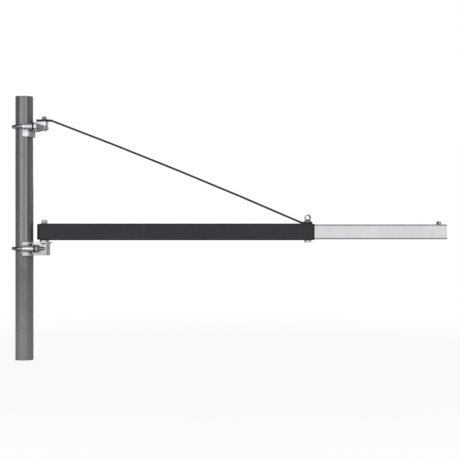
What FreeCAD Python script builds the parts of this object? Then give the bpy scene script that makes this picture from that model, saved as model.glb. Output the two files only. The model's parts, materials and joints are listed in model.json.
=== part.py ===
import FreeCAD, Part
import os
import re

import Sketcher

# Hoist swing arm clamped to an upright tube, in millimetres.
# The origin is the centre of the post's foot, +X runs along the arm and +Z is up.

DIMENSIONS = {
    # Post
    "post_diameter": 48.3,
    "post_wall": 3.2,
    "post_length": 710,
    # Swing axis and levels
    "pivot_offset": 54,
    "arm_level": 345,
    "stay_level": 643,
    "running_gap": 0.3,
    # Outer arm tube
    "arm_size": 45,
    "arm_wall": 2,
    "arm_rear": 45,
    "arm_length": 732,
    "arm_corner": 4.5,
    # Plastic cap on the rear end of the tube
    "cap_size": 42.6,
    "cap_depth": 8.2,
    "cap_plug": 3,
    "cap_wall": 2.5,
    "cap_upright_chamfer": 5,
    "cap_level_chamfer": 2,
    # Plastic collar round the mouth of the tube
    "collar_size": 43.4,
    "collar_depth": 5,
    "collar_gap": 0.35,
    "collar_corner": 2.5,
    # Telescopic extension
    "extension_size": 40,
    "extension_wall": 2,
    "extension_corner": 4.5,
    "extension_length": 650,
    "extension_reach": 361,
    # Stay of flat bar
    "stay_width": 20,
    "stay_thickness": 5,
    "stay_tail": 20.5,
    "stay_flat": 18,
    "stay_bend": 8,
    "stay_toe": 12,
    "stay_rise": 5,
    # Saddles that bear on the post
    "saddle_gap": 0.15,
    "saddle_wall": 7.5,
    "saddle_angle": 177.5,
    "saddle_height": 36,
    "sleeve_diameter": 16,
    "lower_saddle_drop": 18.5,
    "upper_saddle_drop": 27.2,
    "lower_seat": 31,
    "upper_seat": 27.5,
    # U-bolts round the post
    "clamp_drop": 22.5,
    "stay_clamp_drop": 15.4,
    "clamp_rod": 10,
    "clamp_inside": 50,
    "clamp_gap": 0.15,
    "lower_thread_end": 57,
    "upper_thread_end": 51.5,
    "clamp_washer": 20,
    "clamp_washer_thickness": 3.2,
    "clamp_nut": 17,
    "clamp_nut_height": 8,
    "thread_gap": 0.1,
    # Folded brackets that carry the pivots
    "bracket_sheet": 3,
    "bracket_bend": 5,
    "lower_bracket_width": 38,
    "lower_bracket_height": 35.5,
    "lower_bracket_nose": 13.3,
    "lower_bracket_lip": 5.3,
    "cheek_arc": 14,
    "cheek_arc_depth": 3.5,
    "upper_bracket_width": 34,
    "upper_bracket_height": 25.5,
    "upper_bracket_nose": 10.3,
    "cheek_rise": 7,
    "weld_gap": 0.1,
    # Pivots
    "arm_pivot": 10,
    "arm_pivot_flats": 16,
    "arm_pivot_head": 6.4,
    "arm_pivot_nut": 9.5,
    "thrust_washer": 26,
    "thrust_thickness": 4.7,
    "stay_pivot": 8,
    "stay_pivot_flats": 13,
    "stay_pivot_head": 5.3,
    "stay_pivot_nut": 8,
    "stay_washer": 20,
    "stay_washer_thickness": 1.5,
    "thread_tip": 0.6,
    # Eye screw and counter screw that clamp the extension
    "eye_setback": 12,
    "eye_diameter": 18.5,
    "eye_hole": 9,
    "eye_thickness": 12,
    "screw": 10,
    "screw_flats": 16,
    "screw_head": 6.2,
    "eye_washer": 20,
    "eye_washer_thickness": 1.5,
    # Stop bolt at the tip
    "stop_setback": 18.6,
    "stop_bolt": 8,
    "stop_flats": 13,
    "stop_head": 5.3,
    "stop_nut": 8,
}

doc = FreeCAD.newDocument("hoist_swing_arm")
sheet = doc.addObject("Spreadsheet::Sheet", "dims")
for row, (alias, number) in enumerate(DIMENSIONS.items(), start=1):
    sheet.set(f"A{row}", alias)
    sheet.set(f"B{row}", str(number))
    sheet.setAlias(f"B{row}", alias)
doc.recompute()

# Places worked out from the driving dimensions
DERIVED = {
    "post_radius": "(post_diameter / 2)",
    "arm_top": "(arm_level + arm_size / 2)",
    "arm_floor": "(arm_level - arm_size / 2)",
    "arm_front": "(arm_rear + arm_length)",
    "eye_x": "(arm_front - eye_setback)",
    "tip_x": "(arm_front + extension_reach)",
    "stop_x": "(tip_x - stop_setback)",
    "extension_top": "(arm_level + extension_size / 2)",
    "extension_floor": "(arm_level - extension_size / 2)",
    "stay_top": "(stay_level + stay_thickness)",
    "tab_top": "(arm_top + stay_thickness)",
    "lower_bracket_top": "(arm_floor - running_gap - thrust_thickness)",
    "upper_bracket_top": "(stay_level - running_gap - stay_washer_thickness)",
    "upper_bracket_floor": "(upper_bracket_top - upper_bracket_height)",
    "upper_flange_floor": "(upper_bracket_floor + cheek_rise)",
    "lower_clamp_level": "(arm_floor - clamp_drop)",
    "upper_clamp_level": "(stay_level - stay_clamp_drop)",
    "saddle_inner": "(post_radius + saddle_gap)",
    "saddle_outer": "(saddle_inner + saddle_wall)",
    "clamp_offset": "(clamp_inside / 2 + clamp_rod / 2)",
    "clamp_centre": "(clamp_inside / 2 - post_radius - clamp_gap)",
    "eye_seat": "(tab_top + eye_washer_thickness)",
    "eye_level": "(eye_seat + eye_diameter / 2)",
}

# The two clamps, and the place of each leg of their U-bolts
SIDES = {"lower": "arm_pivot", "upper": "stay_pivot"}
LEGS = {"front": "0 - clamp_offset", "back": "clamp_offset"}

# Sides of the section of the bent bars
BAR_SIDES = 10


def spell_out(text):
    """Write an expression of plain names as one that reads the sheet."""
    def replace(word):
        name = word.group()
        if name in DERIVED:
            return spell_out(DERIVED[name])
        return f"dims.{name}" if name in DIMENSIONS else name
    return re.sub(r"[a-z_]+", replace, str(text))


def value(text):
    """Work out an expression with the sheet's present sizes."""
    return float(sheet.evalExpression(spell_out(text)))


def bind(item, **expressions):
    """Tie properties of an object to the sheet, with __ for a dot in the property's path."""
    for path, text in expressions.items():
        item.setExpression(path.replace("__", "."), spell_out(text))
    return item


def place(item, x=0, y=0, z=0, axis=(0, 0, 1), angle=0):
    """Turn an object about an axis through its own origin and set it at a bound position."""
    item.Placement = FreeCAD.Placement(
        FreeCAD.Vector(), FreeCAD.Rotation(FreeCAD.Vector(*axis), angle)
    )
    return bind(item, Placement__Base__x=x, Placement__Base__y=y, Placement__Base__z=z)


def cylinder(name, radius, height):
    item = doc.addObject("Part::Cylinder", name)
    return bind(item, Radius=radius, Height=height)


def hexagon(name, flats, height):
    """A hexagonal prism given by its width across flats."""
    item = doc.addObject("Part::Prism", name)
    item.Polygon = 6
    return bind(item, Circumradius=f"{flats} / (2 * cos(30 deg))", Height=height)


def fuse(name, *shapes):
    item = doc.addObject("Part::MultiFuse", name)
    item.Shapes = list(shapes)
    return item


def cut(name, base, tool):
    item = doc.addObject("Part::Cut", name)
    item.Base = base
    item.Tool = tool
    return item


def compound(name, *shapes):
    item = doc.addObject("Part::Compound", name)
    item.Links = list(shapes)
    return item


def new_body(name):
    return doc.addObject("PartDesign::Body", name)


def new_sketch(body, name, role, offset=0):
    """A sketch on one of the body's own origin planes, moved along the plane's normal."""
    sketch = body.newObject("Sketcher::SketchObject", name)
    plane = next(f for f in body.Origin.OriginFeatures if f.Role == role)
    sketch.AttachmentSupport = (plane, "")
    sketch.MapMode = "FlatFace"
    return bind(sketch, AttachmentOffset__Base__z=offset)


def fix_point(sketch, geometry, point, x, y):
    """Hold a point of the sketch at bound coordinates."""
    for kind, text in (("DistanceX", x), ("DistanceY", y)):
        index = sketch.addConstraint(
            Sketcher.Constraint(kind, -1, 1, geometry, point, value(text))
        )
        bind(sketch, **{f"Constraints[{index}]": text})


def draw_outline(sketch, points):
    """A closed outline of straight lines whose corners are bound coordinates."""
    corners = [FreeCAD.Vector(value(x), value(y), 0) for x, y in points]
    first = sketch.GeometryCount
    count = len(corners)
    for index in range(count):
        line = Part.LineSegment(corners[index], corners[(index + 1) % count])
        sketch.addGeometry(line, False)
    for index in range(count):
        following = first + (index + 1) % count
        sketch.addConstraint(Sketcher.Constraint("Coincident", first + index, 2, following, 1))
    for index, (x, y) in enumerate(points):
        fix_point(sketch, first + index, 1, x, y)


def draw_square(sketch, size, level):
    half = f"({size}) / 2"
    draw_outline(sketch, [
        (f"0 - {half}", f"{level} - {half}"),
        (half, f"{level} - {half}"),
        (half, f"{level} + {half}"),
        (f"0 - {half}", f"{level} + {half}"),
    ])


def draw_circle(sketch, radius, x, y):
    centre = FreeCAD.Vector(value(x), value(y), 0)
    circle = Part.Circle(centre, FreeCAD.Vector(0, 0, 1), value(radius))
    geometry = sketch.addGeometry(circle, False)
    fix_point(sketch, geometry, 3, x, y)
    index = sketch.addConstraint(Sketcher.Constraint("Radius", geometry, value(radius)))
    bind(sketch, **{f"Constraints[{index}]": radius})


def add_pad(body, name, sketch, length, symmetric=False):
    pad = body.newObject("PartDesign::Pad", name)
    pad.Profile = sketch
    if symmetric:
        pad.SideType = "Symmetric"
    bind(pad, Length=length)
    doc.recompute()
    return pad


def add_pocket(body, name, sketch, length=None, upward=False):
    """Cut a profile out: to a depth on one side of its plane, or through all on both sides."""
    before = body.Shape.Volume
    pocket = body.newObject("PartDesign::Pocket", name)
    pocket.Profile = sketch
    if length is None:
        pocket.Type = "ThroughAll"
        pocket.SideType = "Symmetric"
    else:
        pocket.Reversed = upward
        bind(pocket, Length=length)
    doc.recompute()
    if not body.Shape.Volume < before:
        raise RuntimeError(f"{name} cuts nothing")
    return pocket


def edges_along(feature, direction, accept):
    """Names of the straight edges that run along a direction and whose middle is accepted."""
    names = []
    for index, edge in enumerate(feature.Shape.Edges, start=1):
        if edge.Curve.TypeId != "Part::GeomLine":
            continue
        run = edge.Vertexes[1].Point - edge.Vertexes[0].Point
        if run.cross(FreeCAD.Vector(*direction)).Length > 1e-6 * run.Length:
            continue
        if accept(edge.CenterOfMass):
            names.append(f"Edge{index}")
    return names


def add_fillet(body, name, radius, direction, accept):
    base = body.Tip
    fillet = body.newObject("PartDesign::Fillet", name)
    fillet.Base = (base, edges_along(base, direction, accept))
    bind(fillet, Radius=radius)
    doc.recompute()
    return fillet


def add_chamfer(body, name, size, direction, accept):
    base = body.Tip
    chamfer = body.newObject("PartDesign::Chamfer", name)
    chamfer.Base = (base, edges_along(base, direction, accept))
    bind(chamfer, Size=size)
    doc.recompute()
    return chamfer


def make_post():
    outer = cylinder("post_outside", "post_radius", "post_length")
    inner = cylinder("post_bore", "post_radius - post_wall", "post_length")
    return cut("post_tube", outer, inner)


def make_rod_along_x(name, radius, start, end, y, z):
    rod = cylinder(name, radius, f"{end} - ({start})")
    return place(rod, start, y, z, axis=(0, 1, 0), angle=90)


def make_saddle(side):
    """A half shell that bears on the post, with a sleeve for each leg of the U-bolt."""
    level = f"{side}_clamp_level"
    foot = f"{level} - {side}_saddle_drop"
    shell = cylinder(f"{side}_shell", "saddle_outer", "saddle_height")
    bind(shell, Angle="saddle_angle")
    place(shell, z=foot)
    bind(shell, Placement__Rotation__Angle="0 - saddle_angle / 2")
    post = cylinder(f"{side}_shell_bore", "saddle_inner", "saddle_height + 2 * sleeve_diameter")
    place(post, z=f"{foot} - sleeve_diameter")
    solids = [shell]
    holes = [post]
    lip = "0 - saddle_outer * sin((saddle_angle - 180) / 2 * 1 deg)"
    for hand, y in LEGS.items():
        solids.append(make_rod_along_x(
            f"{side}_{hand}_sleeve", "sleeve_diameter / 2", lip, f"{side}_seat", y, level))
        holes.append(make_rod_along_x(
            f"{side}_{hand}_sleeve_bore", "clamp_rod / 2 + thread_gap",
            f"{lip} - clamp_rod", f"{side}_seat + clamp_rod", y, level))
    body = fuse(f"{side}_saddle_body", *solids)
    return cut(f"{side}_saddle", body, fuse(f"{side}_saddle_holes", *holes))


def make_u_bolt(side):
    """A bar bent round the back of the post, with both legs towards the arm."""
    level = f"{side}_clamp_level"
    section = doc.addObject("Part::RegularPolygon", f"{side}_bar_section")
    section.Polygon = BAR_SIDES
    bind(section, Circumradius="clamp_rod / 2")
    place(section, "clamp_centre", LEGS["back"], level, axis=(0, 1, 0), angle=90)
    bend = doc.addObject("Part::Revolution", f"{side}_bend")
    bend.Source = section
    bind(bend, Base__x="clamp_centre")
    bend.Axis = FreeCAD.Vector(0, 0, 1)
    bend.Angle = 180
    bend.Solid = True
    legs = []
    for hand, y in LEGS.items():
        leg = doc.addObject("Part::Prism", f"{side}_{hand}_leg")
        leg.Polygon = BAR_SIDES
        bind(leg, Circumradius="clamp_rod / 2", Height=f"{side}_thread_end - clamp_centre")
        legs.append(place(leg, "clamp_centre", y, level, axis=(0, 1, 0), angle=90))
    return fuse(f"{side}_u_bolt", bend, *legs)


def make_u_bolts():
    return compound("u_bolts", *(make_u_bolt(side) for side in SIDES))


def make_clamp_washer(side, hand, y):
    """A flat washer on the end of a sleeve."""
    name = f"{side}_{hand}_washer"
    level = f"{side}_clamp_level"
    seat = f"{side}_seat"
    face = f"{seat} + clamp_washer_thickness"
    disc = make_rod_along_x(f"{name}_disc", "clamp_washer / 2", seat, face, y, level)
    bore = make_rod_along_x(f"{name}_bore", "clamp_rod / 2 + thread_gap", seat, face, y, level)
    return cut(name, disc, bore)


def make_clamp_nut(side, hand, y):
    """A hexagon nut that bears on the washer of a U-bolt's leg."""
    name = f"{side}_{hand}_nut"
    level = f"{side}_clamp_level"
    seat = f"{side}_seat + clamp_washer_thickness"
    face = f"{seat} + clamp_nut_height"
    block = hexagon(f"{name}_hex", "clamp_nut", "clamp_nut_height")
    place(block, seat, y, level, axis=(0, 1, 0), angle=90)
    tapping = make_rod_along_x(f"{name}_tapping", "clamp_rod / 2 + thread_gap", seat, face, y, level)
    return cut(name, block, tapping)


def make_clamp_hardware():
    """All washers and all nuts on the legs of the U-bolts."""
    legs = [(side, hand, y) for side in SIDES for hand, y in LEGS.items()]
    return [
        compound("clamp_washers", *(make_clamp_washer(*leg) for leg in legs)),
        compound("clamp_nuts", *(make_clamp_nut(*leg) for leg in legs)),
    ]


def open_cheeks(body, nose):
    """Cut an arc out of both cheeks below the top sheet, and let that sheet stand out over the nose."""
    sheet_floor = "lower_bracket_top - bracket_sheet"
    arc = new_sketch(body, "lower_bracket_arc", "XZ_Plane")
    draw_circle(arc, "cheek_arc", "pivot_offset", f"{sheet_floor} - cheek_arc_depth + cheek_arc")
    add_pocket(body, "lower_bracket_openings", arc)
    half = "lower_bracket_width / 2"
    front = f"{nose} + lower_bracket_lip"
    plan = new_sketch(body, "lower_bracket_lip_plan", "XY_Plane", sheet_floor)
    draw_outline(plan, [
        ("pivot_offset - cheek_arc", f"0 - {half}"),
        (front, f"0 - {half}"),
        (front, half),
        ("pivot_offset - cheek_arc", half),
    ])
    add_pad(body, "lower_bracket_top_sheet", plan, "bracket_sheet")
    edge = value(front)
    add_fillet(
        body, "lower_bracket_lip_corners", "bracket_bend", (0, 0, 1), lambda p: abs(p.x - edge) < 1e-6)


def slope_cheeks(body, nose):
    """Let the lower edge of both cheeks rise towards the nose, and close the box there with a flange."""
    wedge = new_sketch(body, "upper_bracket_wedge", "XZ_Plane")
    draw_outline(wedge, [
        ("saddle_outer", "upper_bracket_floor"),
        (nose, "upper_bracket_floor"),
        (nose, "upper_flange_floor"),
    ])
    add_pocket(body, "upper_bracket_slope", wedge)
    half = "(upper_bracket_width / 2 - bracket_sheet)"
    front = f"{nose} - bracket_sheet"
    plan = new_sketch(body, "upper_bracket_flange_plan", "XY_Plane", "upper_flange_floor")
    draw_outline(plan, [
        ("0", f"0 - {half}"),
        (front, f"0 - {half}"),
        (front, half),
        ("0", half),
    ])
    add_pad(body, "upper_bracket_flange", plan, "bracket_sheet")


# What sets the two brackets apart
FINISH = {"lower": open_cheeks, "upper": slope_cheeks}


def make_bracket(side, pivot):
    """A folded cap open below and towards the post, welded to the saddle."""
    top = f"{side}_bracket_top"
    height = f"{side}_bracket_height"
    width = f"{side}_bracket_width"
    nose = f"(pivot_offset + {side}_bracket_nose)"
    floor = f"({top} - {height})"
    body = new_body(f"{side}_bracket")

    def plan(name, inset):
        sketch = new_sketch(body, name, "XY_Plane", floor)
        half = f"({width} / 2 - {inset})"
        draw_outline(sketch, [
            ("0", f"0 - {half}"),
            (f"{nose} - {inset}", f"0 - {half}"),
            (f"{nose} - {inset}", half),
            ("0", half),
        ])
        return sketch

    add_pad(body, f"{side}_bracket_block", plan(f"{side}_bracket_plan", "0"), height)
    far = value("pivot_offset")
    add_fillet(body, f"{side}_bracket_nose", "bracket_bend", (0, 0, 1), lambda p: p.x > far)
    inside = plan(f"{side}_bracket_inside", "bracket_sheet")
    add_pocket(body, f"{side}_bracket_hollow", inside, f"{height} - bracket_sheet", upward=True)
    inner_nose = value(f"{nose} - bracket_sheet")
    add_fillet(
        body, f"{side}_bracket_inner_nose", "bracket_bend - bracket_sheet", (0, 0, 1),
        lambda p: abs(p.x - inner_nose) < 1e-6)
    FINISH[side](body, nose)
    holes = new_sketch(body, f"{side}_bracket_cuts", "XY_Plane", floor)
    draw_circle(holes, "saddle_outer + weld_gap", "0", "0")
    draw_circle(holes, f"{pivot} / 2 + thread_gap", "pivot_offset", "0")
    add_pocket(body, f"{side}_bracket_ends", holes)
    return body


def make_ring(name, diameter, bore, thickness, x, z):
    disc = place(cylinder(f"{name}_disc", f"{diameter} / 2", thickness), x, 0, z)
    hole = place(cylinder(f"{name}_hole", f"{bore} / 2 + thread_gap", thickness), x, 0, z)
    return cut(name, disc, hole)


def make_bolt(name, diameter, flats, head, x, head_level, tip_level):
    """A hexagon bolt that points up, given by the underside of its head and its tip."""
    block = place(hexagon(f"{name}_head", flats, head), x, 0, f"{head_level} - {head}")
    shank = cylinder(f"{name}_shank", f"{diameter} / 2", f"{tip_level} - ({head_level})")
    place(shank, x, 0, head_level)
    return fuse(name, block, shank)


def make_lock_nut(name, bore, flats, height, x, z):
    """A hexagon nut with a round collar on top that grips the thread."""
    collar_share = 0.35
    collar_round = 0.93
    hex_height = f"{height} * {1 - collar_share}"
    block = place(hexagon(f"{name}_hex", flats, hex_height), x, 0, z, angle=30)
    crown = cylinder(f"{name}_crown", f"{flats} / 2 * {collar_round}", height)
    place(crown, x, 0, z)
    tapping = cylinder(f"{name}_tapping", f"{bore} / 2 + thread_gap", height)
    place(tapping, x, 0, z)
    return cut(name, fuse(f"{name}_block", block, crown), tapping)


def make_pivots():
    """Bolts, washers and lock nuts of the two pivots on the swing axis."""
    arm_nut_seat = "arm_top + running_gap"
    stay_nut_seat = "stay_top + running_gap"
    washers = [
        make_ring("arm_washer", "thrust_washer", "arm_pivot", "thrust_thickness",
                  "pivot_offset", "lower_bracket_top"),
        make_ring("stay_washer", "stay_washer", "stay_pivot", "stay_washer_thickness",
                  "pivot_offset", "upper_bracket_top"),
    ]
    lock_nuts = [
        make_lock_nut("arm_pivot_nut", "arm_pivot", "arm_pivot_flats", "arm_pivot_nut",
                      "pivot_offset", arm_nut_seat),
        make_lock_nut("stay_pivot_nut", "stay_pivot", "stay_pivot_flats", "stay_pivot_nut",
                      "pivot_offset", stay_nut_seat),
    ]
    return [
        make_bolt("arm_pivot_bolt", "arm_pivot", "arm_pivot_flats", "arm_pivot_head", "pivot_offset",
                  "lower_bracket_top - bracket_sheet", f"{arm_nut_seat} + arm_pivot_nut + thread_tip"),
        make_bolt("stay_pivot_bolt", "stay_pivot", "stay_pivot_flats", "stay_pivot_head", "pivot_offset",
                  "upper_flange_floor", f"{stay_nut_seat} + stay_pivot_nut + thread_tip"),
        compound("thrust_washers", *washers),
        compound("pivot_lock_nuts", *lock_nuts),
    ]


def make_square_tube(name, size, wall, corner, start, length, level):
    body = new_body(name)
    section = new_sketch(body, f"{name}_section", "YZ_Plane", start)
    draw_square(section, size, level)
    draw_square(section, f"{size} - 2 * ({wall})", level)
    add_pad(body, f"{name}_run", section, length)
    outside = value(size) / 2
    add_fillet(body, f"{name}_corners", corner, (1, 0, 0), lambda p: abs(abs(p.y) - outside) < 1e-6)
    inside = value(f"{size} / 2 - ({wall})")
    add_fillet(
        body, f"{name}_inner_corners", f"{corner} - ({wall})", (1, 0, 0),
        lambda p: abs(abs(p.y) - inside) < 1e-6)
    return body


def make_arm_tube():
    body = make_square_tube(
        "arm_tube", "arm_size", "arm_wall", "arm_corner", "arm_rear", "arm_length", "arm_level")
    holes = new_sketch(body, "arm_tube_drilling", "XY_Plane")
    draw_circle(holes, "arm_pivot / 2 + running_gap", "pivot_offset", "0")
    draw_circle(holes, "screw / 2 + thread_gap", "eye_x", "0")
    add_pocket(body, "arm_tube_holes", holes)
    return body


def make_end_cap():
    """A plug-in cap with a rounded rim and a hollow back."""
    body = new_body("end_cap")
    rear = "arm_rear - cap_depth"
    rim = new_sketch(body, "end_cap_rim", "YZ_Plane", rear)
    draw_square(rim, "cap_size", "arm_level")
    add_pad(body, "end_cap_plate", rim, "cap_depth")
    back = value(rear)
    for edge, direction in (("upright", (0, 0, 1)), ("level", (0, 1, 0))):
        add_chamfer(
            body, f"end_cap_{edge}_edges", f"cap_{edge}_chamfer", direction,
            lambda p: abs(p.x - back) < 1e-6)
    plug = new_sketch(body, "end_cap_plug_section", "YZ_Plane", "arm_rear")
    bore = "(arm_size - 2 * arm_wall - 2 * running_gap)"
    draw_square(plug, bore, "arm_level")
    add_pad(body, "end_cap_plug", plug, "cap_plug")
    front = value("arm_rear")
    add_fillet(
        body, "end_cap_plug_corners", "arm_corner - arm_wall", (1, 0, 0), lambda p: p.x > front)
    hollow = new_sketch(body, "end_cap_hollow_section", "YZ_Plane", f"{rear} + cap_wall")
    draw_square(hollow, f"{bore} - 2 * cap_wall", "arm_level")
    add_pocket(body, "end_cap_hollow", hollow, "cap_depth + cap_plug", upward=True)
    return body


def make_collar():
    opening = "extension_size + 2 * collar_gap"
    return make_square_tube(
        "tube_collar", "collar_size", f"(collar_size - ({opening})) / 2", "collar_corner",
        "arm_front", "collar_depth", "arm_level")


def make_extension():
    body = make_square_tube(
        "extension_tube", "extension_size", "extension_wall", "extension_corner",
        "tip_x - extension_length", "extension_length", "arm_level")
    hole = new_sketch(body, "extension_drilling", "XY_Plane", "arm_level")
    draw_circle(hole, "stop_bolt / 2 + thread_gap", "stop_x", "0")
    add_pocket(body, "extension_hole", hole, "extension_size", upward=True)
    return body


def make_stay():
    """Flat bar from the upper pivot down to the mouth of the arm, slightly arched, both ends bent level."""
    start_x = "(pivot_offset + stay_flat)"
    end_x = "(eye_x - stay_flat)"
    run = f"({end_x} - {start_x})"
    drop = "(stay_level - arm_top)"

    def corner(slope):
        """How far the upper corner of a bend lies beyond the lower one."""
        return f"stay_thickness * tan(atan({slope}) / 2)"

    def arch(part, above):
        """A point of the arch at a part of its run, on its underside or a thickness above it."""
        slope = f"atan(({drop} - {4 * (1 - 2 * part)} * stay_rise) / {run})"
        x = f"{start_x} + {part} * {run}"
        z = f"stay_level - {part} * {drop} + {4 * part * (1 - part)} * stay_rise"
        return f"{x} + {above} * sin({slope})", f"{z} + {above} * cos({slope})"

    stations = (0.25, 0.5, 0.75)
    upper_corner = f"{start_x} + {corner(f'({drop} - 3 * stay_rise) / {run}')}"
    lower_corner = f"{end_x} + {corner(f'({drop} + 3 * stay_rise) / {run}')}"
    body = new_body("stay_bar")
    side = new_sketch(body, "stay_side", "XZ_Plane")
    draw_outline(side, [
        ("pivot_offset - stay_tail", "stay_level"),
        (start_x, "stay_level"),
        *(arch(part, "0") for part in stations),
        (end_x, "arm_top"),
        ("eye_x + stay_toe", "arm_top"),
        ("eye_x + stay_toe", "tab_top"),
        (lower_corner, "tab_top"),
        *(arch(part, "stay_thickness") for part in reversed(stations)),
        (upper_corner, "stay_top"),
        ("pivot_offset - stay_tail", "stay_top"),
    ])
    add_pad(body, "stay_strip", side, "stay_width", symmetric=True)
    thickness = value("stay_thickness")

    def near(x, z):
        target = FreeCAD.Vector(value(x), 0, value(z))
        return lambda p: (p - target).Length < thickness / 10

    bends = [
        ("upper_inner", start_x, "stay_level", "stay_bend"),
        ("upper_outer", upper_corner, "stay_top", "stay_bend + stay_thickness"),
        ("lower_inner", lower_corner, "tab_top", "stay_bend"),
        ("lower_outer", end_x, "arm_top", "stay_bend + stay_thickness"),
    ]
    for name, x, z, radius in bends:
        add_fillet(body, f"stay_{name}_bend", radius, (0, 1, 0), near(x, z))
    holes = new_sketch(body, "stay_drilling", "XY_Plane")
    draw_circle(holes, "stay_pivot / 2 + running_gap", "pivot_offset", "0")
    draw_circle(holes, "screw / 2 + thread_gap", "eye_x", "0")
    add_pocket(body, "stay_holes", holes)
    return body


def make_eye_screw():
    """A screw with a flat-sided eye that presses on the extension from above."""
    eye = cylinder("eye_round", "eye_diameter / 2", "eye_thickness")
    place(eye, "eye_x", "eye_thickness / 2", "eye_level", axis=(1, 0, 0), angle=90)
    tip = "(extension_top + running_gap)"
    shank = place(cylinder("eye_shank", "screw / 2", f"eye_level - {tip}"), "eye_x", 0, tip)
    hole = cylinder("eye_through_hole", "eye_hole / 2", "2 * eye_thickness")
    place(hole, "eye_x", "eye_thickness", "eye_level", axis=(1, 0, 0), angle=90)
    return cut("eye_screw", fuse("eye_and_shank", eye, shank), hole)


def make_clamp_screws():
    return [
        make_eye_screw(),
        make_ring("eye_screw_washer", "eye_washer", "screw", "eye_washer_thickness", "eye_x", "tab_top"),
        make_bolt("counter_screw", "screw", "screw_flats", "screw_head", "eye_x", "arm_floor",
                  "extension_floor - running_gap"),
    ]


def make_stop():
    """The stop at the tip that keeps a hoist from running off the extension."""
    head_level = "extension_top - extension_wall"
    tip_level = "extension_top + stop_nut + thread_tip"
    return [
        make_bolt("stop_bolt", "stop_bolt", "stop_flats", "stop_head", "stop_x", head_level, tip_level),
        make_lock_nut("stop_lock_nut", "stop_bolt", "stop_flats", "stop_nut", "stop_x", "extension_top"),
    ]


def build_parts():
    parts = [make_post(), make_u_bolts()]
    parts.append(compound("saddles", *(make_saddle(side) for side in SIDES)))
    parts.append(compound("brackets", *(make_bracket(*item) for item in SIDES.items())))
    parts.extend(make_clamp_hardware())
    parts.extend(make_pivots())
    parts.extend([make_arm_tube(), make_end_cap(), make_collar(), make_stay()])
    parts.extend(make_clamp_screws())
    parts.append(make_extension())
    parts.extend(make_stop())
    return parts


def check_document(parts):
    """Stop before anything is written if a feature failed or a shape is unusable."""
    for item in doc.Objects:
        if any(word in item.State for word in ("Invalid", "Error")):
            raise RuntimeError(f"{item.Label} failed: {item.State}")
    for part in parts:
        if part.Shape.isNull() or not part.Shape.isValid() or not part.Shape.Solids:
            raise RuntimeError(f"{part.Label} has no valid solid")


parts = build_parts()
doc.recompute()
check_document(parts)
os.makedirs("parts", exist_ok=True)
for part in parts:
    part.Shape.exportStep(os.path.join("parts", f"{part.Label}.step"))
    print(part.Label, len(part.Shape.Solids), round(part.Shape.Volume, 1))
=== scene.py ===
import json
import math

import bmesh
import bpy
from mathutils import Matrix, Vector


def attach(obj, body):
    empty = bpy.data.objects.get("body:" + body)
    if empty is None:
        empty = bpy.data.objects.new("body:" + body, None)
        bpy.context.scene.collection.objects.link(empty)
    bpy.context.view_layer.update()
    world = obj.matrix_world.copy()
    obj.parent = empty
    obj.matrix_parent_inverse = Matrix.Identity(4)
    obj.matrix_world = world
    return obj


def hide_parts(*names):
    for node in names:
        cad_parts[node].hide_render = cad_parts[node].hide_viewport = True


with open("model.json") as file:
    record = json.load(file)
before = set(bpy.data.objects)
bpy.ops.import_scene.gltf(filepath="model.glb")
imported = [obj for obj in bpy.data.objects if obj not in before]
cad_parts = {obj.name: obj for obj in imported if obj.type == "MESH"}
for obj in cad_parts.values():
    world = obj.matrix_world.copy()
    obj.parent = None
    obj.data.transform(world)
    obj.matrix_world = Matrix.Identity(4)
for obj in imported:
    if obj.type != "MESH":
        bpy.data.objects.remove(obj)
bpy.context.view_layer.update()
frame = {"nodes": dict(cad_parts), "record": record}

# Shapes are in millimetres until add_piece. Materials, lamps and the camera are in metres.
MM = 0.001

# Places and sizes of the solids
PIVOT_X = 54.0
ARM_LEVEL = 345.0
ARM_FLOOR = 322.5
ARM_TOP = 367.5
STAY_TOP = 648.0
LOWER_BRACKET_TOP = 317.5
UPPER_BRACKET_TOP = 641.2
UPPER_FLANGE_FLOOR = 622.7
SHEET = 3.0
SADDLE_OUTER = 31.8
LOWER_NOSE = 13.3
LOWER_HALF = 19.0
UPPER_HALF = 17.0
EYE_X = 765.0
TAB_TOP = 372.5
EYE_SEAT = 374.0
EYE_LEVEL = 383.25
EYE_OUTER = 9.25
EYE_BORE = 4.5
EYE_HALF_WIDTH = 6.0
EXTENSION_TOP = 365.0
EXTENSION_FLOOR = 325.0
EXTENSION_WALL = 2.0
STOP_X = 1119.4
RUNNING_GAP = 0.3

# The lower and the upper clamp: height of the bar, seat of the washers and end of the legs
CLAMPS = (
    {"level": 300.0, "seat": 31.0, "end": 57.0},
    {"level": 627.6, "seat": 27.5, "end": 51.5},
)
CLAMP_Y = 30.0
BEND_X = 0.7
CLAMP_ROD = 10.0
CLAMP_PITCH = 1.5
THREAD_BEHIND_SEAT = 3.0

# Fasteners: flats are the full width, bore and outer are radii
ARM_SCREW = {"diameter": 10.0, "flats": 16.0, "head": 6.4, "pitch": 1.5}
SMALL_SCREW = {"diameter": 8.0, "flats": 13.0, "head": 5.3, "pitch": 1.25}
COUNTER_SCREW = {"diameter": 10.0, "flats": 16.0, "head": 6.2, "pitch": 0.55}
CLAMP_NUT = {"flats": 17.0, "bore": 5.1, "height": 8.0}
ARM_LOCK_NUT = {"flats": 16.0, "bore": 5.1, "height": 9.5}
SMALL_LOCK_NUT = {"flats": 13.0, "bore": 4.1, "height": 8.0}
CLAMP_WASHER = {"outer": 10.0, "bore": 5.1, "thickness": 3.2, "edge": 0.3}
ARM_DISC = {"outer": 13.0, "bore": 5.1, "thickness": 4.7, "edge": 0.6}
STAY_WASHER = {"outer": 10.0, "bore": 4.1, "thickness": 1.5, "edge": 0.3}
EYE_WASHER = {"outer": 10.0, "bore": 5.1, "thickness": 1.5, "edge": 0.4}
ARM_THREAD = 22.0
STAY_THREAD = 16.0
STOP_THREAD = 11.0
COUNTER_THREAD = 2.2
EYE_ROD = 10.0
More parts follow.
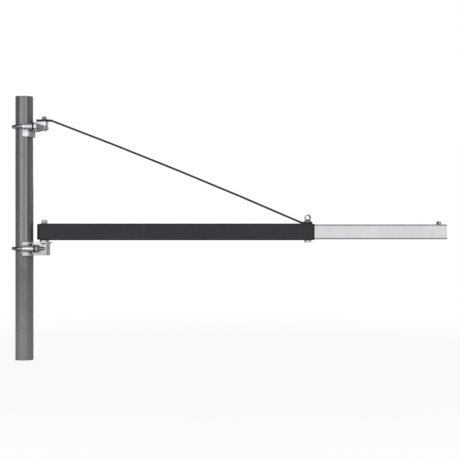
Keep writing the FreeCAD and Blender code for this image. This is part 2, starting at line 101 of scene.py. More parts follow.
EYE_PITCH = 1.5
THREAD_TIP = 0.6
TIP_CHAMFER = 0.9
BORE_CHAMFER = 0.6
CHAMFER_START = 0.955
CHAMFER_ANGLE = math.radians(28)

# Depth of a thread in pitches, and how steeply its flanks fall to that depth
THREAD_DEPTH = 0.54
THREAD_FLANK = 1.15

# Weld beads: half width of the bracket, and the lower and upper end of the beads on its sides
BEADS = ((LOWER_HALF, 283.0, 316.6), (UPPER_HALF, 616.8, 635.6))
BEAD_PROUD = 0.3

# Divisions of the meshes
ROD_SEGMENTS = 32
HEX_SEGMENTS = 96
WASHER_SEGMENTS = 72
NYLON_SEGMENTS = 64
EYE_ROWS = 72
EYE_SEGMENTS = 32
BEAD_SEGMENTS = 18
BEAD_STEPS = 6
THREAD_STEPS = 8
CHAMFER_STEPS = 6
ROUND_STEPS = 4
CROWN_STEPS = 6
BEND_STEPS = 56
LEG_STEPS = 4
FLARE_STEPS = 12

ALONG_X = Matrix.Rotation(math.pi / 2, 4, "Y")
FLAT_TO_X = Matrix.Rotation(math.pi / 6, 4, "Z")
UPRIGHT = Matrix.Identity(4)


class Graph:
    """Nodes of one material or world, linked as they are added."""

    def __init__(self, owner, shader, coordinates):
        self.owner = owner
        owner.use_nodes = True
        self.tree = owner.node_tree
        self.shader = self.tree.nodes[shader]
        self.place = self.add("ShaderNodeTexCoord").outputs[coordinates]

    def set(self, socket, value):
        """Link a socket to another one, or give it a value."""
        if isinstance(value, bpy.types.NodeSocket):
            self.tree.links.new(value, socket)
        elif value is not None:
            socket.default_value = value

    def add(self, kind, settings=None, **values):
        node = self.tree.nodes.new(kind)
        for key, setting in (settings or {}).items():
            setattr(node, key, setting)
        for key, value in values.items():
            self.set(node.inputs[key], value)
        return node

    def axes(self):
        """The place along X, Y and Z."""
        return self.add("ShaderNodeSeparateXYZ", Vector=self.place).outputs

    def stretch(self, scale):
        """The place, scaled along each axis."""
        node = self.add("ShaderNodeMapping", Vector=self.place)
        node.inputs["Scale"].default_value = scale
        return node.outputs["Vector"]

    def noise(self, scale, detail=3.0, rough=0.55, vector=None):
        node = self.add(
            "ShaderNodeTexNoise", Vector=vector or self.place,
            Scale=scale, Detail=detail, Roughness=rough)
        return node.outputs["Fac"]

    def streaks(self, scale, detail, rough):
        """Noise with a scale of its own along each axis."""
        return self.noise(1.0, detail, rough, self.stretch(scale))

    def spread(self, value, low, high, start=0.0, end=1.0):
        """Map a value from one range to another."""
        node = self.add("ShaderNodeMapRange", {"interpolation_type": "SMOOTHSTEP"}, Value=value)
        limits = {"From Min": low, "From Max": high, "To Min": start, "To Max": end}
        for key, number in limits.items():
            node.inputs[key].default_value = number
        return node.outputs["Result"]

    def math(self, operation, first, second=None):
        node = self.add("ShaderNodeMath", {"operation": operation})
        self.set(node.inputs[0], first)
        self.set(node.inputs[1], second)
        return node.outputs[0]

    def mix(self, factor, first, second):
        """Blend two colours."""
        node = self.add("ShaderNodeMix", {"data_type": "RGBA"})
        self.set(node.inputs[0], factor)
        self.set(node.inputs[6], first)
        self.set(node.inputs[7], second)
        return node.outputs[2]

    def bump(self, height, distance, strength, normal=None):
        node = self.add("ShaderNodeBump", Height=height, Distance=distance, Strength=strength)
        self.set(node.inputs["Normal"], normal)
        return node.outputs["Normal"]

    def soft_edges(self, radius):
        node = self.add("ShaderNodeBevel", {"samples": 6}, Radius=radius)
        return node.outputs["Normal"]

    def edge_mask(self, radius):
        """Near 1 along sharp edges and 0 on the faces between them."""
        node = self.add("ShaderNodeVectorMath", {"operation": "DOT_PRODUCT"})
        self.set(node.inputs[0], self.soft_edges(radius))
        self.set(node.inputs[1], self.add("ShaderNodeNewGeometry").outputs["Normal"])
        return self.spread(node.outputs["Value"], 0.995, 0.85)

    def crevice(self, distance):
        node = self.add("ShaderNodeAmbientOcclusion", {"samples": 6}, Distance=distance)
        return node.outputs["AO"]

    def finish(self, colour, roughness, normal, metallic=0.0, specular=0.5):
        self.set(self.shader.inputs["Base Color"], colour)
        self.set(self.shader.inputs["Roughness"], roughness)
        self.set(self.shader.inputs["Normal"], normal)
        self.shader.inputs["Metallic"].default_value = metallic
        self.shader.inputs["Specular IOR Level"].default_value = specular
        return self.owner


def new_material(name):
    return Graph(bpy.data.materials.new(name), "Principled BSDF", "Object")


def grey(level, blue=0.0):
    return (level * (1 - blue / 2), level, level * (1 + blue), 1.0)


def make_zinc(name, level, shade_share, rough=0.32, fine=1500, crevice=0.005, depth=(0.85, 0.35),
              light_and_shade_fades=(), shade_band=None, metal=1.0):
    """Zinc plate: cloudy tone, faint rolling marks, painted shade in crevices and rounded edges.

    Shade share is the share of the tone that is left in a crevice, where shade is painted in, and
    depth the openness at which that painted shade begins and is full. Each fade paints a lit or
    shaded side onto a piece: it gives an axis, two places on it and the tone that is reached at
    the second. A shade band gives the middle height and the half height of a band of painted
    shade, and its tone."""
    g = new_material(name)
    cloud = g.spread(g.noise(70, 5), 0.3, 0.7)
    marks = g.noise(260, 4, vector=g.stretch((1.0, 1.0, 0.12)))
    tone = g.mix(cloud, grey(level, 0.02), grey(level * 0.84, 0.03))
    # Painted light and shade: each fade makes one side or one end of a piece lighter or darker
    for axis, begin, full, faded in light_and_shade_fades:
        tone = g.mix(g.spread(g.axes()[axis], begin, full), tone, grey(faded, 0.02))
    # Painted shade: a darker band at one height, standing in for the shade that falls there
    if shade_band:
        middle, half, stain_and_shade_tone = shade_band
        near = g.math("ABSOLUTE", g.math("SUBTRACT", g.axes()["Z"], middle))
        tone = g.mix(g.spread(near, half, half * 0.5), tone, grey(stain_and_shade_tone))
    # Painted shade: the tone darkens in crevices and between parts, by ambient occlusion
    tone = g.mix(g.spread(g.crevice(crevice), *depth), tone, grey(level * shade_share))
    roughness = g.spread(marks, 0.25, 0.75, rough - 0.07, rough + 0.1)
    normal = g.bump(marks, 0.0002, 0.12, g.soft_edges(0.0005))
    normal = g.bump(g.noise(fine, 2), 0.00005, 0.2, normal)
    return g.finish(tone, roughness, normal, metallic=metal)


def make_paint():
    """Anthracite powder coat with orange peel, handling marks and thin wear along the edges."""
    g = new_material("anthracite_powder_coat")
    deep, pale = (0.0255, 0.0275, 0.034, 1), (0.032, 0.035, 0.0425, 1)
    handled, worn_through = grey(0.052), grey(0.105)
    tone = g.mix(g.spread(g.noise(9, 4), 0.3, 0.7), deep, pale)
    marks = g.spread(g.noise(55, 8, 0.65), 0.56, 0.74)
    tone = g.mix(g.math("MULTIPLY", marks, 0.25), tone, handled)
    patches = g.spread(g.noise(130, 5), 0.45, 0.65, 0.0, 0.4)
    tone = g.mix(g.math("MULTIPLY", g.edge_mask(0.0012), patches), tone, worn_through)
    roughness = g.spread(marks, 0.0, 1.0, 0.42, 0.56)
    normal = g.bump(g.noise(850, 2), 0.00008, 0.28, g.soft_edges(0.0006))
    return g.finish(tone, roughness, normal, specular=0.21)


def make_plastic():
    """Moulded black plastic with a fine eroded grain and slightly paler edges."""
    g = new_material("moulded_black_plastic")
    deep, pale = (0.012, 0.012, 0.013, 1), (0.022, 0.022, 0.023, 1)
    rubbed = (0.055, 0.055, 0.056, 1)
    tone = g.mix(g.spread(g.noise(40, 4), 0.3, 0.7), deep, pale)
    tone = g.mix(g.math("MULTIPLY", g.edge_mask(0.0008), 0.4), tone, rubbed)
    roughness = g.spread(g.noise(300, 3), 0.3, 0.7, 0.46, 0.62)
    normal = g.bump(g.noise(1900, 3), 0.00006, 0.35, g.soft_edges(0.0006))
    return g.finish(tone, roughness, normal, specular=0.26)


def make_galvanised():
    """Light galvanised tube: faint spangle and clouds, drawing lines and rub marks.

    Its four bent corners carry a painted dark reflection, deeper on the upper two."""
    g = new_material("galvanised_tube")
    light, lighter = (0.715, 0.72, 0.725, 1), (0.785, 0.79, 0.795, 1)
    cloudy, drawn, rubbed = (0.665, 0.67, 0.675, 1), (0.68, 0.685, 0.69, 1), grey(0.80)
    low_corner_shade, high_corner_shade = (0.27, 0.275, 0.28, 1), (0.21, 0.214, 0.218, 1)
    cells = g.add("ShaderNodeTexVoronoi", Vector=g.place, Scale=95.0, Randomness=1.0)
    spangle = g.add("ShaderNodeRGBToBW", Color=cells.outputs["Color"]).outputs["Val"]
    lines = g.streaks((9.0, 700.0, 700.0), 5, 0.6)
    rubs = g.spread(g.streaks((5.0, 1500.0, 1500.0), 6, 0.7), 0.62, 0.78)
    clouds = g.streaks((16.0, 10.0, 10.0), 3, 0.5)
    tone = g.mix(spangle, light, lighter)
    tone = g.mix(g.spread(clouds, 0.4, 0.65, 0.0, 0.6), tone, cloudy)
    tone = g.mix(g.spread(lines, 0.35, 0.7, 0.0, 0.35), tone, drawn)
    tone = g.mix(g.math("MULTIPLY", rubs, 0.3), tone, rubbed)
    # Painted reflection: the four bent corners are darkened as dark surroundings would show in
    # them, the upper two more
    spot = g.axes()
    rise = g.math("ABSOLUTE", g.math("SUBTRACT", spot["Z"], ARM_LEVEL * MM))
    corner = g.math("MINIMUM", g.math("ABSOLUTE", spot["Y"]), rise)
    edge = g.mix(g.spread(spot["Z"], 0.34, 0.35), low_corner_shade, high_corner_shade)
    tone = g.mix(g.spread(corner, 0.0152, 0.0180, 0.0, 0.85), tone, edge)
    roughness = g.spread(spangle, 0.0, 1.0, 0.36, 0.48)
    normal = g.bump(lines, 0.0001, 0.12, g.soft_edges(0.0006))
    return g.finish(tone, roughness, normal, metallic=0.4)


def make_post_steel():
    """Weathered grey tube with streaks along its length, stains and scuffs.

    Below the lower clamp it is rougher, and paler towards the foot."""
    g = new_material("weathered_post_steel")
    dull, bright = (0.165, 0.166, 0.167, 1), (0.252, 0.253, 0.254, 1)
    stain_and_shade_tone, scuffed, pale = (0.113, 0.111, 0.109, 1), grey(0.243), grey(0.42)
    streaks = g.streaks((230.0, 230.0, 2.2), 6, 0.6)
    stains = g.noise(22, 7, 0.62)
    scuffs = g.spread(g.streaks((380.0, 380.0, 40.0), 5, 0.7), 0.6, 0.75)
    tone = g.mix(g.spread(streaks, 0.3, 0.7), dull, bright)
    tone = g.mix(g.spread(stains, 0.5, 0.78, 0.0, 0.5), tone, stain_and_shade_tone)
    tone = g.mix(g.math("MULTIPLY", scuffs, 0.25), tone, scuffed)
    height = g.axes()["Z"]
    below = g.spread(height, 0.292, 0.282)
    paler = g.math("MULTIPLY", below, g.spread(height, 0.24, -0.02, 0.05, 0.62))
    tone = g.mix(paler, tone, pale)
    rougher = g.math("MULTIPLY", below, 0.4)
    roughness = g.math("ADD", g.spread(stains, 0.3, 0.75, 0.15, 0.26), rougher)
    normal = g.bump(streaks, 0.0003, 0.1, g.soft_edges(0.0006))
    normal = g.bump(g.noise(620, 2), 0.00008, 0.06, normal)
    return g.finish(tone, roughness, normal, metallic=0.5, specular=0.35)


def make_nylon():
    """Pale nylon of the ring that grips a thread."""
    g = new_material("nylon_ring")
    dull, pale = (0.56, 0.57, 0.56, 1), (0.65, 0.66, 0.65, 1)
    tone = g.mix(g.spread(g.noise(300, 3), 0.3, 0.7), dull, pale)
    roughness = g.spread(g.noise(500, 2), 0.3, 0.7, 0.4, 0.55)
    return g.finish(tone, roughness, g.bump(g.noise(1500, 2), 0.00004, 0.2))


# The finish of each slot of the record
MATERIALS = {
    "post_steel": make_post_steel(),
    "bright_zinc": make_zinc("bright_zinc_plate", 0.78, 0.3, rough=0.34, fine=1300),
    "dull_zinc": make_zinc("dull_zinc_plate", 0.52, 0.5, fine=1600, crevice=0.003, metal=0.6),
    "black_paint": make_paint(),
    "black_plastic": make_plastic(),
    "galvanised": make_galvanised(),
}

NYLON = make_nylon()

# Zinc of pieces that are brighter or darker than the rest, several of them with painted light and
# shade
# Painted shade: deep darkening in the crevices round the sleeves of the saddles
SADDLE_ZINC = make_zinc(
    "saddle_zinc_crevice_shade", 0.80, 0.08, rough=0.34, fine=1300, crevice=0.013, depth=(0.93, 0.58))
# Painted light and shade on the brackets: dark crevices, a paler top and darker lower edge on the
# lower bracket, and darker noses
BRACKET_ZINC = make_zinc(
    "folded_bracket_zinc", 0.59, 0.15, rough=0.34, fine=1300, crevice=0.04, depth=(0.55, 0.25),
    light_and_shade_fades=[
        ("Z", 0.302, 0.315, 0.69),   # lower bracket, painted light towards its top
        ("Z", 0.298, 0.286, 0.44),   # lower bracket, painted shade towards its lower edge
        ("Z", 0.4, 0.6, 0.61),       # upper bracket
        ("X", 0.0605, 0.062, 0.40),  # noses of both, painted shade
    ],
    # Painted shadow of the U-bolt thread across the lower part of the upper bracket
    shade_band=(0.6245, 0.009, 0.26))
# Darker tone, with strong painted shade in its crevices
BOLT_ZINC = make_zinc(
    "dark_bolt_zinc", 0.35, 0.15, rough=0.34, fine=1600, crevice=0.02, depth=(0.9, 0.5))
# Painted shade: the nuts of the lower clamp are darker than those of the upper one
NUT_ZINC = make_zinc(
    "clamp_nut_zinc", 0.74, 0.6, rough=0.30, light_and_shade_fades=[("Z", 0.5, 0.4, 0.25)], metal=0.6)
# Painted shade: the clamp washers are near black, standing in for the shade between sleeve and nut
WASHER_ZINC = make_zinc("washer_zinc_painted_shade", 0.06, 0.3, rough=0.42)
DISC_ZINC = make_zinc(
    "bright_disc_zinc", 0.88, 0.9, rough=0.34, fine=1300, crevice=0.002, metal=0.7)
# Painted shade: the U-bolts darken towards and round their bend behind the post
BAR_ZINC = make_zinc("bar_zinc_shaded_bend", 0.63, 0.3, light_and_shade_fades=[("X", 0.022, -0.016, 0.30)])
HEAD_ZINC = make_zinc("screw_head_zinc", 0.65, 0.6, crevice=0.002)
# Painted shade: the eye is darker on its right side and in a dark band at its foot
EYE_ZINC = make_zinc(
    "forged_eye_zinc", 0.76, 0.4, fine=1600, crevice=0.003,
    light_and_shade_fades=[("X", 0.7625, 0.7715, 0.2)], shade_band=(0.3752, 0.0042, 0.07), metal=0.6)
# Painted shade: the stop nut is darker on its left side
STOP_ZINC = make_zinc(
    "stop_nut_zinc", 0.70, 0.6, crevice=0.002, light_and_shade_fades=[("X", 1.1195, 1.1175, 0.10)], metal=0.5)
# Painted shade: the upper lock nut is darker than the lower one
LOCK_ZINC = make_zinc(
    "lock_nut_zinc", 0.68, 0.6, crevice=0.002, light_and_shade_fades=[("Z", 0.4, 0.6, 0.33)], metal=0.5)

for part in frame["record"]["subparts"]:
    node = frame["nodes"][part["node"]]
    node.data.materials.clear()
    node.data.materials.append(MATERIALS[part["material_slot"]])
frame["nodes"]["saddles"].data.materials[0] = SADDLE_ZINC
frame["nodes"]["brackets"].data.materials[0] = BRACKET_ZINC


def add_piece(name, shapes, body, slot, replaced=(), material=None, sharp=32):
    """Join lists of points (mm) and faces into one piece that rides on a body."""
    points = []
    faces = []
    for shape_points, shape_faces in shapes:
        first = len(points)
        points.extend(Vector(p) * MM for p in shape_points)
        faces.extend([first + index for index in face] for face in shape_faces)
    mesh = bpy.data.meshes.new(name)
    mesh.from_pydata(points, [], faces)
    work = bmesh.new()
    work.from_mesh(mesh)
    bmesh.ops.recalc_face_normals(work, faces=work.faces)
    work.to_mesh(mesh)
    work.free()
    mesh.shade_smooth()
    mesh.set_sharp_from_angle(angle=math.radians(sharp))
    mesh.materials.append(material or MATERIALS[slot])
    piece = bpy.data.objects.new(name, mesh)
    bpy.context.scene.collection.objects.link(piece)
    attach(piece, body)
    if replaced:
        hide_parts(*replaced)


def move(shape, x=0.0, y=0.0, z=0.0, turn=UPRIGHT):
    points, faces = shape
    matrix = Matrix.Translation((x, y, z)) @ turn
    return [matrix @ Vector(p) for p in points], faces


def weave(rows, closed_rows):
    """Faces of a grid of points whose rows are rings.

    The last row joins the first, or else both are capped."""
    across = len(rows[0])
    points = [p for row in rows for p in row]
    faces = []
    count = len(rows)
    for row in range(count if closed_rows else count - 1):
        following = (row + 1) % count
        for column in range(across):
            beside = (column + 1) % across
            faces.append((row * across + column, row * across + beside,
                          following * across + beside, following * across + column))
    if not closed_rows:
        faces.append(tuple(range(across - 1, -1, -1)))
        faces.append(tuple((count - 1) * across + column for column in range(across)))
    return points, faces


def angles(count):
    """Angles of one full turn in equal steps."""
    return [2 * math.pi * index / count for index in range(count)]


def circle(radius, height):
    return [(radius * math.cos(a), radius * math.sin(a), height) for a in angles(ROD_SEGMENTS)]


def corner_radius(flats):
    return flats / 2 / math.cos(math.pi / 6)


def hexagon_radius(angle, flats):
    """Distance from the axis to the side of a hexagon with a corner at angle 0."""
    step = math.pi / 3
    return flats / 2 / math.cos((angle % step) - step / 2)


def turn_profile(profile, segments, closed, flats=None):
    """Turn (radius, height) points about Z.

    Flats trim the outline to a hexagon with a corner on X."""
    rows = []
    for radius, height in profile:
        ring = []
        for angle in angles(segments):
            reach = min(radius, hexagon_radius(angle, flats)) if flats else radius
            ring.append((reach * math.cos(angle), reach * math.sin(angle), height))
        rows.append(ring)
    return weave(rows, closed)


def rounded(radius, height, up, size, steps=ROUND_STEPS):
    """Quarter round at an outer corner of a profile, from the face towards the side."""
    arc = []
    for index in range(steps + 1):
        angle = math.pi / 2 * index / steps
        arc.append((radius - size * (1 - math.sin(angle)),
                    height - up * size * (1 - math.cos(angle))))
    return arc


def make_ring(outer, bore, thickness, edge):
    """A washer with softly rounded edges, lying on Z = 0."""
    top = rounded(outer, thickness, 1, edge)
    bottom = rounded(outer, 0, -1, edge)[::-1]
    inner_top = [(bore, thickness - edge / 2), (bore + edge / 2, thickness)]
    inner_bottom = [(bore + edge / 2, 0), (bore, edge / 2)]
    return turn_profile(inner_top + top + bottom + inner_bottom, WASHER_SEGMENTS, True)


def chamfer_rows(flats, face, up):
    """Rows of the cone that breaks the corners of a hexagon at one face."""
    start = flats / 2 * CHAMFER_START
    corner = corner_radius(flats)
    rows = []
    for index in range(CHAMFER_STEPS + 1):
        radius = start + (corner - start) * index / CHAMFER_STEPS
        rows.append((radius, face + up * (radius - start) * math.tan(CHAMFER_ANGLE)))
    return rows


def make_nut(flats, bore, height):
    """A plain hexagon nut with both faces chamfered, standing on Z = 0."""
    bottom = chamfer_rows(flats, 0, 1)
    top = chamfer_rows(flats, height, -1)[::-1]
    mouth = bore + BORE_CHAMFER
    inside = [(mouth, height), (bore, height - BORE_CHAMFER), (bore, BORE_CHAMFER), (mouth, 0)]
    return turn_profile(bottom + top + inside, HEX_SEGMENTS, True, flats)


def make_lock_nut(flats, bore, height):
    """A hexagon nut with a rolled crown, and the ring that the crown holds."""
    hex_height = height * 0.65
    crown = flats / 2 * 0.93
    lip = 1.1
    rim = 0.5
    play = 0.05
    seat = crown - lip - rim
    pocket = [(seat, height), (seat, height - 1.0), (bore, height - 1.2)]
    mouth = [(bore, BORE_CHAMFER), (bore + BORE_CHAMFER, 0)]
    bottom = chamfer_rows(flats, 0, 1)
    shoulder = chamfer_rows(flats, hex_height, -1)[::-1]
    crown_foot = [(crown, hex_height + play)]
    crown_top = rounded(crown, height, 1, lip, CROWN_STEPS)[::-1]
    outline = bottom + shoulder + crown_foot + crown_top + pocket + mouth
    nut = turn_profile(outline, HEX_SEGMENTS, True, flats)
    low, high = height - 1.1, height - 0.25
    edge = 0.2
    side = seat - play
    inner = [(bore, low), (bore, high - edge), (bore + edge, high)]
    ring = turn_profile(inner + [(side, high), (side, low)], NYLON_SEGMENTS, True)
    return nut, ring


def thread_radius(radius, pitch, along, angle, fade):
    """Radius of a screw thread at a distance along its axis."""
    phase = (along / pitch - angle / (2 * math.pi)) % 1.0
    depth = THREAD_DEPTH * pitch
    return radius - depth * fade * min(1.0, THREAD_FLANK * abs(2 * phase - 1))


def thread_rows(radius, pitch, start, end):
    """Rings of a thread that fades in at its start and ends in a chamfered tip."""
    count = int((end - start) / pitch * THREAD_STEPS)
    rows = []
    for row in range(count + 1):
        along = start + (end - start) * row / count
        fade = min(1.0, (along - start) / pitch)
        ring = []
        for angle in angles(ROD_SEGMENTS):
            reach = thread_radius(radius, pitch, along, angle, fade)
            reach = min(reach, radius - TIP_CHAMFER + (end - along))
            ring.append((reach * math.cos(angle), reach * math.sin(angle), along))
        rows.append(ring)
    return rows


def make_bolt(length, threaded, diameter, flats, head, pitch):
    """A hexagon bolt that points up from the underside of its head at Z = 0."""
    radius = diameter / 2
    sunk = 1.0
    bevel = 0.4
    top = [(flats / 2 * 0.5, -head)] + chamfer_rows(flats, -head, 1)
    underside = [(corner_radius(flats), -bevel), (flats / 2 * 0.94, 0)]
    body = turn_profile(top + underside, HEX_SEGMENTS, False, flats)
    rows = [circle(radius, -sunk)]
    rows.extend(thread_rows(radius, pitch, length - threaded, length))
    return [body, weave(rows, False)]


def make_u_bolt(level, seat, end):
    """A round bar bent round the post, with a rolled thread on both legs."""
    radius = CLAMP_ROD / 2
    thread_start = seat - THREAD_BEHIND_SEAT
    thread = end - thread_start
    plain = thread_start - BEND_X
    stations = []
    steps = int(thread / CLAMP_PITCH * THREAD_STEPS)
    for row in range(steps + 1):
        x = end - thread * row / steps
        stations.append((x, end - x, min(1.0, (x - thread_start) / CLAMP_PITCH)))
    for step in range(1, LEG_STEPS):
        stations.append((thread_start - plain * step / LEG_STEPS, None, 0.0))
    path = [((x, -CLAMP_Y), (-1, 0), from_tip, fade) for x, from_tip, fade in stations]
    for index in range(BEND_STEPS + 1):
        angle = -math.pi / 2 - math.pi * index / BEND_STEPS
        spot = (BEND_X + CLAMP_Y * math.cos(angle), CLAMP_Y * math.sin(angle))
        path.append((spot, (math.sin(angle), -math.cos(angle)), None, 0.0))
    path.extend(((x, CLAMP_Y), (1, 0), from_tip, fade) for x, from_tip, fade in reversed(stations))
    rows = []
    for (x, y), (along_x, along_y), from_tip, fade in path:
        ring = []
        for angle in angles(ROD_SEGMENTS):
            reach = radius
            if from_tip is not None:
                reach = thread_radius(radius, CLAMP_PITCH, from_tip, angle, fade)
                reach = min(reach, radius - TIP_CHAMFER + from_tip)
            side = reach * math.cos(angle)
            ring.append((x - along_y * side, y + along_x * side, level + reach * math.sin(angle)))
        rows.append(ring)
    return weave(rows, False)


# U-bolts with their washers and nuts
washers = []
nuts = []
for clamp in CLAMPS:
    nut_seat = clamp["seat"] + CLAMP_WASHER["thickness"]
    for y in (-CLAMP_Y, CLAMP_Y):
        washers.append(move(make_ring(**CLAMP_WASHER), clamp["seat"], y, clamp["level"], ALONG_X))
        nuts.append(move(make_nut(**CLAMP_NUT), nut_seat, y, clamp["level"], ALONG_X))
add_piece("u_bolts_threaded", [make_u_bolt(**clamp) for clamp in CLAMPS],
          "post", "dull_zinc", ["u_bolts"], BAR_ZINC)
add_piece("clamp_washers_rounded", washers,
          "post", "dull_zinc", ["clamp_washers"], WASHER_ZINC)
add_piece("clamp_nuts_chamfered", nuts,
          "post", "dull_zinc", ["clamp_nuts"], NUT_ZINC)

# Pivots
arm_nut_seat = ARM_TOP + RUNNING_GAP
stay_nut_seat = STAY_TOP + RUNNING_GAP
arm_nut, arm_ring = make_lock_nut(**ARM_LOCK_NUT)
stay_nut, stay_ring = make_lock_nut(**SMALL_LOCK_NUT)
arm_head = LOWER_BRACKET_TOP - SHEET
stay_head = UPPER_FLANGE_FLOOR
arm_reach = arm_nut_seat + ARM_LOCK_NUT["height"] + THREAD_TIP - arm_head
stay_reach = stay_nut_seat + SMALL_LOCK_NUT["height"] + THREAD_TIP - stay_head
arm_bolt = make_bolt(arm_reach, ARM_THREAD, **ARM_SCREW)
stay_bolt = make_bolt(stay_reach, STAY_THREAD, **SMALL_SCREW)
add_piece(
    "thrust_washers_rounded",
    [move(make_ring(**ARM_DISC), PIVOT_X, 0, LOWER_BRACKET_TOP),
     move(make_ring(**STAY_WASHER), PIVOT_X, 0, UPPER_BRACKET_TOP)],
    "post", "bright_zinc", ["thrust_washers"], DISC_ZINC)
add_piece(
    "pivot_lock_nuts_crowned",
    [move(arm_nut, PIVOT_X, 0, arm_nut_seat, FLAT_TO_X),
     move(stay_nut, PIVOT_X, 0, stay_nut_seat, FLAT_TO_X)],
    "post", "dull_zinc", ["pivot_lock_nuts"], LOCK_ZINC)
add_piece(
    "pivot_nylon_rings",
    [move(arm_ring, PIVOT_X, 0, arm_nut_seat), move(stay_ring, PIVOT_X, 0, stay_nut_seat)],
    "post", "dull_zinc", material=NYLON)
add_piece("arm_pivot_bolt_threaded", [move(s, PIVOT_X, 0, arm_head) for s in arm_bolt],
          "post", "dull_zinc", ["arm_pivot_bolt"], BOLT_ZINC)
add_piece("stay_pivot_bolt_threaded", [move(s, PIVOT_X, 0, stay_head) for s in stay_bolt],
          "post", "dull_zinc", ["stay_pivot_bolt"])

# Stop at the tip
stop_head = EXTENSION_TOP - EXTENSION_WALL
stop_reach = EXTENSION_TOP + SMALL_LOCK_NUT["height"] + THREAD_TIP - stop_head
stop_nut, stop_ring = make_lock_nut(**SMALL_LOCK_NUT)
stop_bolt = make_bolt(stop_reach, STOP_THREAD, **SMALL_SCREW)
add_piece("stop_bolt_threaded", [move(s, STOP_X, 0, stop_head) for s in stop_bolt],
          "extension", "dull_zinc", ["stop_bolt"])
add_piece("stop_lock_nut_crowned", [move(stop_nut, STOP_X, 0, EXTENSION_TOP, FLAT_TO_X)],
          "extension", "dull_zinc", ["stop_lock_nut"], STOP_ZINC)
add_piece("stop_nylon_ring", [move(stop_ring, STOP_X, 0, EXTENSION_TOP)],
          "extension", "dull_zinc", material=NYLON)

# Screws that clamp the extension
counter_reach = EXTENSION_FLOOR - RUNNING_GAP - ARM_FLOOR
counter = make_bolt(counter_reach, COUNTER_THREAD, **COUNTER_SCREW)
add_piece("counter_screw_chamfered", [move(s, EYE_X, 0, ARM_FLOOR) for s in counter],
          "arm", "dull_zinc", ["counter_screw"], HEAD_ZINC)
add_piece("eye_screw_washer_rounded", [move(make_ring(**EYE_WASHER), EYE_X, 0, TAB_TOP)],
          "arm", "bright_zinc", ["eye_screw_washer"])


def make_eye():
    """A forged ring with a rounded section, about the Y axis."""
    middle = (EYE_OUTER + EYE_BORE) / 2
    half_radial = (EYE_OUTER - EYE_BORE) / 2
    roundness = 0.8
    rows = []
    for turn in angles(EYE_ROWS):
        ring = []
        for angle in angles(EYE_SEGMENTS):
            c, s = math.cos(angle), math.sin(angle)
            radial = middle + half_radial * math.copysign(abs(c) ** roundness, c)
            across = EYE_HALF_WIDTH * math.copysign(abs(s) ** roundness, s)
            ring.append((radial * math.cos(turn), across, radial * math.sin(turn)))
        rows.append(ring)
    return weave(rows, True)


def make_eye_shank():
    """The shank below the eye, with a shoulder that narrows into the ring."""
    length = EYE_SEAT - EXTENSION_TOP - RUNNING_GAP
    shoulder = ((0.3, 7.0), (0.8, 8.0), (1.9, 8.0), (2.7, 6.6), (3.4, 5.4), (4.0, 4.6))
    rows = thread_rows(EYE_ROD / 2, EYE_PITCH, 0, length)
    rows = [[(x, y, length - z) for x, y, z in ring] for ring in rows][::-1]
    rows.extend(circle(radius, length + height) for height, radius in shoulder)
    return weave(rows, False)


add_piece(
    "eye_screw_forged",
    [move(make_eye(), EYE_X, 0, EYE_LEVEL),
     move(make_eye_shank(), EYE_X, 0, EXTENSION_TOP + RUNNING_GAP)],
    "arm", "dull_zinc", ["eye_screw"], EYE_ZINC)


def make_bead(x, y, low, high):
    """An upright weld bead with the ripples of its passes."""
    radius = 2.0
    ripple = 1.7
    blunt = 0.15
    droop = 0.35
    steps = int((high - low) / ripple * BEAD_STEPS)
    rows = []
    for row in range(steps + 1):
        z = low + (high - low) * row / steps
        wave = (z - low) / ripple % 1.0
        end = min(1.0, (z - low) / radius + blunt, (high - z) / radius + blunt)
        size = radius * math.sqrt(end) * (0.9 + 0.1 * math.sqrt(abs(math.sin(math.pi * wave))))
        ring = []
        for angle in angles(BEAD_SEGMENTS):
            sag = droop * math.cos(angle) ** 2
            ring.append((x + size * math.cos(angle), y + size * math.sin(angle), z - sag))
        rows.append(ring)
    return weave(rows, False)


# Welds between brackets and saddles
beads = []
for half, low, high in BEADS:
    x = math.sqrt(SADDLE_OUTER ** 2 - half ** 2) + BEAD_PROUD
    beads.extend(make_bead(x, side * half, low, high) for side in (-1, 1))
add_piece("bracket_weld_beads", beads, "post", "bright_zinc", sharp=60)


def make_flare():
    """The hollow bend between the nose of the lower bracket and the lip above it."""
    bend = 5.0
    lip = 5.3
    smallest, largest = 0.15, 4.9
    inset = 0.2
    sunk = 0.4
    sweep = math.radians(64)
    half = []
    for step in range(FLARE_STEPS + 1):
        turn = sweep * step / FLARE_STEPS
        if turn < math.pi / 4:
            over = lip * math.cos(turn) + math.sqrt(bend ** 2 - (lip * math.sin(turn)) ** 2) - bend
        else:
            over = bend / math.sin(turn) - bend
        half.append((turn, max(smallest, min(largest, over - inset))))
    rows = []
    for side, stations in ((-1, half[::-1]), (1, half)):
        for turn, size in stations:
            outline = [(-sunk, sunk), (-sunk, -size)]
            for step in range(FLARE_STEPS + 1):
                angle = math.pi / 2 * step / FLARE_STEPS
                outline.append((size * (1 - math.cos(angle)), -size * (1 - math.sin(angle))))
            outline.append((size, sunk))
            rows.append([(PIVOT_X + LOWER_NOSE - bend + (bend + out) * math.cos(turn),
                          side * (LOWER_HALF - bend + (bend + out) * math.sin(turn)),
                          LOWER_BRACKET_TOP - SHEET + up) for out, up in outline])
    return weave(rows, False)


add_piece("bracket_lip_flare", [make_flare()],
          "post", "bright_zinc", material=BRACKET_ZINC, sharp=40)

# Light from all sides, and what reflections show: the dim room and the pale parts of it
AMBIENT = 0.52
ROOM = 0.15
BACKDROP = 0.92
CEILING = 0.5
FLOOR = 0.86

FLOOR_REACH = 8.0
FLOOR_PLACE = (0.5, 0, -0.0005)

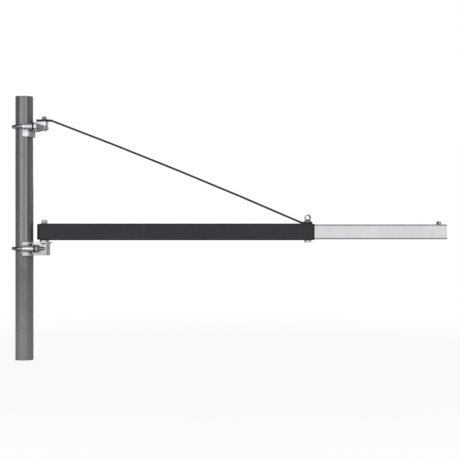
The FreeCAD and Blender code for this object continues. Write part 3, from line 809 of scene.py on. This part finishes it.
# Lamps: name, place, target, width and height, watts
AT_POST = (0.1, 0, 0.4)
AT_MIDDLE = (0.5, 0, 0.4)
LAMPS = (
    ("left_panel", (-1.22, -2.74, 1.12), AT_POST, (3.2, 2.2), 32),
    ("right_panel", (1.39, -2.66, 1.05), AT_POST, (1.5, 2.0), 14),
    ("back_panel", (0.7, 2.6, 1.5), AT_MIDDLE, (3.0, 2.0), 28),
    ("side_panel", (3.4, 0.9, 1.4), AT_MIDDLE, (2.8, 2.4), 5),
)

CAMERA_PLACE = (0.5553, -3.1, 0.350)
CAMERA_LENS = 89.8
CAMERA_SENSOR = 36


def make_floor():
    """White to the camera apart from the object's shadow, and in reflections dim near it."""
    r = FLOOR_REACH
    mesh = bpy.data.meshes.new("studio_floor")
    mesh.from_pydata([(-r, -r, 0), (r, -r, 0), (r, r, 0), (-r, r, 0)], [], [(0, 1, 2, 3)])
    floor = bpy.data.objects.new("studio_floor", mesh)
    floor.location = FLOOR_PLACE
    bpy.context.scene.collection.objects.link(floor)
    g = new_material("pale_floor")
    g.shader.inputs["Base Color"].default_value = grey(0.65)
    g.shader.inputs["Roughness"].default_value = 0.9
    glow = g.add("ShaderNodeEmission")
    path = g.add("ShaderNodeLightPath").outputs
    away = g.add("ShaderNodeVectorMath", {"operation": "LENGTH"})
    g.set(away.inputs[0], g.place)
    direct = g.math("MAXIMUM", path["Is Camera Ray"], path["Is Transmission Ray"])
    seen = g.math("MULTIPLY", direct, g.spread(away.outputs["Value"], 0.8, 1.8, 0.9, 1.0))
    across = g.math("ABSOLUTE", g.axes()["Y"])
    mirrored = g.spread(across, 0.05, 0.6, ROOM, FLOOR)
    g.set(glow.inputs["Strength"], g.math("MAXIMUM", direct, mirrored))
    blend = g.add("ShaderNodeMixShader")
    g.set(blend.inputs[0], g.math("MAXIMUM", seen, path["Is Glossy Ray"]))
    g.set(blend.inputs[1], g.shader.outputs[0])
    g.set(blend.inputs[2], glow.outputs[0])
    g.set(g.tree.nodes["Material Output"].inputs["Surface"], blend.outputs[0])
    mesh.materials.append(g.owner)


def make_world():
    """White to the camera. Reflections are pale behind the object and overhead, else dim."""
    g = Graph(bpy.data.worlds.new("studio"), "Background", "Generated")
    bpy.context.scene.world = g.owner
    path = g.add("ShaderNodeLightPath").outputs
    towards = g.axes()
    behind = g.spread(towards["Y"], 0.95, 1.0, ROOM - AMBIENT, BACKDROP - AMBIENT)
    above = g.spread(towards["Z"], 0.88, 0.98, ROOM - AMBIENT, CEILING - AMBIENT)
    mirrored = g.math("MULTIPLY", path["Is Glossy Ray"], g.math("MAXIMUM", behind, above))
    direct = g.math("MAXIMUM", path["Is Camera Ray"], path["Is Transmission Ray"])
    seen = g.math("MULTIPLY", direct, 1.0 - AMBIENT)
    g.shader.inputs["Color"].default_value = grey(1.0)
    g.set(g.shader.inputs["Strength"], g.math("ADD", AMBIENT, g.math("ADD", seen, mirrored)))


def add_lamp(name, place, target, size, watts):
    light = bpy.data.lights.new(name, "AREA")
    light.shape = "RECTANGLE"
    light.size, light.size_y = size
    light.energy = watts
    lamp = bpy.data.objects.new(name, light)
    lamp.location = place
    lamp.rotation_euler = (Vector(target) - Vector(place)).to_track_quat("-Z", "Y").to_euler()
    lamp.visible_camera = False
    bpy.context.scene.collection.objects.link(lamp)


def add_camera():
    """The camera of the photograph, level and square to the arm."""
    data = bpy.data.cameras.new("camera")
    data.sensor_width = CAMERA_SENSOR
    data.lens = CAMERA_LENS
    camera = bpy.data.objects.new("camera", data)
    camera.location = CAMERA_PLACE
    camera.rotation_euler = (math.pi / 2, 0, 0)
    bpy.context.scene.collection.objects.link(camera)
    bpy.context.scene.camera = camera


make_floor()
make_world()
for lamp_settings in LAMPS:
    add_lamp(*lamp_settings)
add_camera()
bpy.context.scene.view_settings.view_transform = "Standard"
